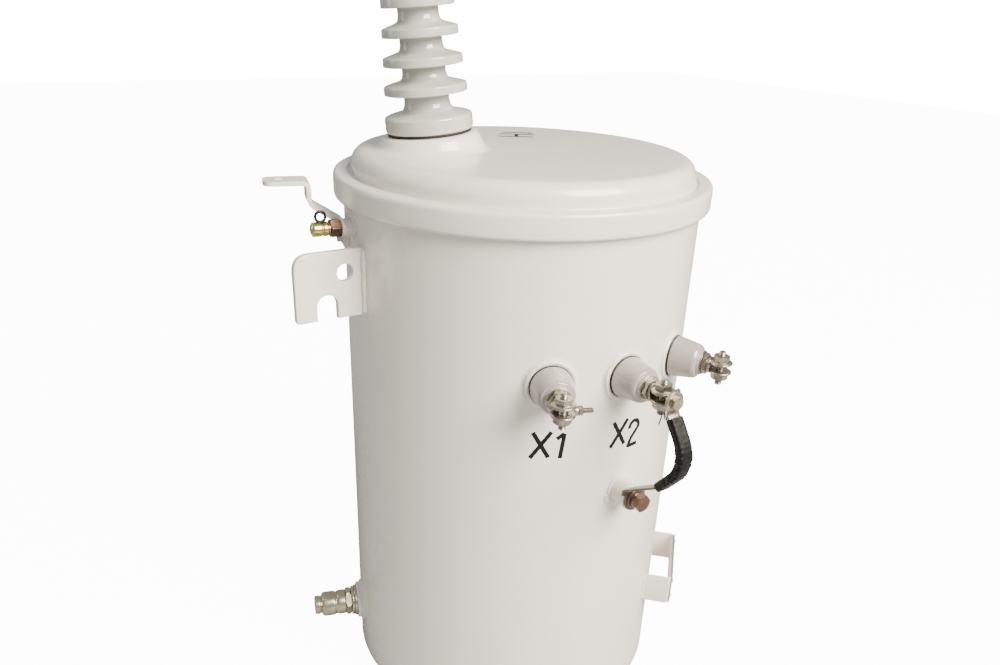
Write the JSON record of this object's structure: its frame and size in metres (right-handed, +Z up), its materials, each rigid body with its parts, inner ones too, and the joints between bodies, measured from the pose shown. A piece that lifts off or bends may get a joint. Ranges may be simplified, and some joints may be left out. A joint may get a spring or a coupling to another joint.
{
  "type": "pole mounted transformer",
  "caption": "Round oil-filled tank with a clamped cover, one leaning porcelain bushing on top, side bushings with cable clamps and lugs for lifting and for a pole.",
  "frame": {"origin": "centre of the underside of the tank bottom, where the tank stands", "axes": "+Z up along the tank axis; -Y towards the low voltage bushings; +Y towards the pole; +X towards bushing X3"},
  "size_m": [0.5809, 0.5851, 0.9588],
  "materials": {
    "tank_paint": "gloss",
    "hv_porcelain": "gloss",
    "lv_porcelain": "gloss",
    "tinned_bronze": "satin",
    "zinc_steel": "satin",
    "yellow_zinc": "satin",
    "valve_brass": "satin",
    "gasket_rubber": "matte",
    "black_sleeve": "satin",
    "core_steel": "matte",
    "plate_metal": "satin"
  },
  "bodies": {
    "root": {"tank_wall": "tank_paint", "tank_bottom": "tank_paint", "core_and_coils": "core_steel", "cover": "tank_paint", "cover_gasket": "gasket_rubber", "cover_band": "tank_paint", "cover_band_bolt": "zinc_steel", "hv_gasket": "gasket_rubber", "hv_bushing": "hv_porcelain", "hv_terminal": "tinned_bronze", "hv_clamp_lower": "tinned_bronze", "hv_clamp_upper": "tinned_bronze", "lv_collar_x1": "tank_paint", "lv_collar_x2": "tank_paint", "lv_collar_x3": "tank_paint", "lv_gaskets": "gasket_rubber", "lv_bushing_x1": "lv_porcelain", "lv_bushing_x2": "lv_porcelain", "lv_bushing_x3": "lv_porcelain", "lv_stud_x1": "tinned_bronze", "lv_stud_x2": "tinned_bronze", "lv_stud_x3": "tinned_bronze", "lv_clamp_x1": "tinned_bronze", "lv_clamp_x2": "tinned_bronze", "lv_clamp_x3": "tinned_bronze", "lv_clamp_bolt_x1": "tinned_bronze", "lv_clamp_bolt_x2": "tinned_bronze", "lv_clamp_bolt_x3": "tinned_bronze", "ground_boss": "tank_paint", "ground_bolt": "yellow_zinc", "ground_lug_top": "tinned_bronze", "ground_lug_screw": "zinc_steel", "ground_lug_bottom": "yellow_zinc", "ground_strap": "black_sleeve", "lifting_lug_left": "tank_paint", "lifting_lug_right": "tank_paint", "support_lug_upper": "tank_paint", "support_lug_lower": "tank_paint", "arrester_bracket": "tank_paint", "arrester_bolt": "zinc_steel", "relief_valve": "valve_brass", "drain_boss": "tank_paint", "drain_valve": "valve_brass", "nameplate_bracket": "tank_paint", "nameplate": "plate_metal"}
  },
  "joints": []
}
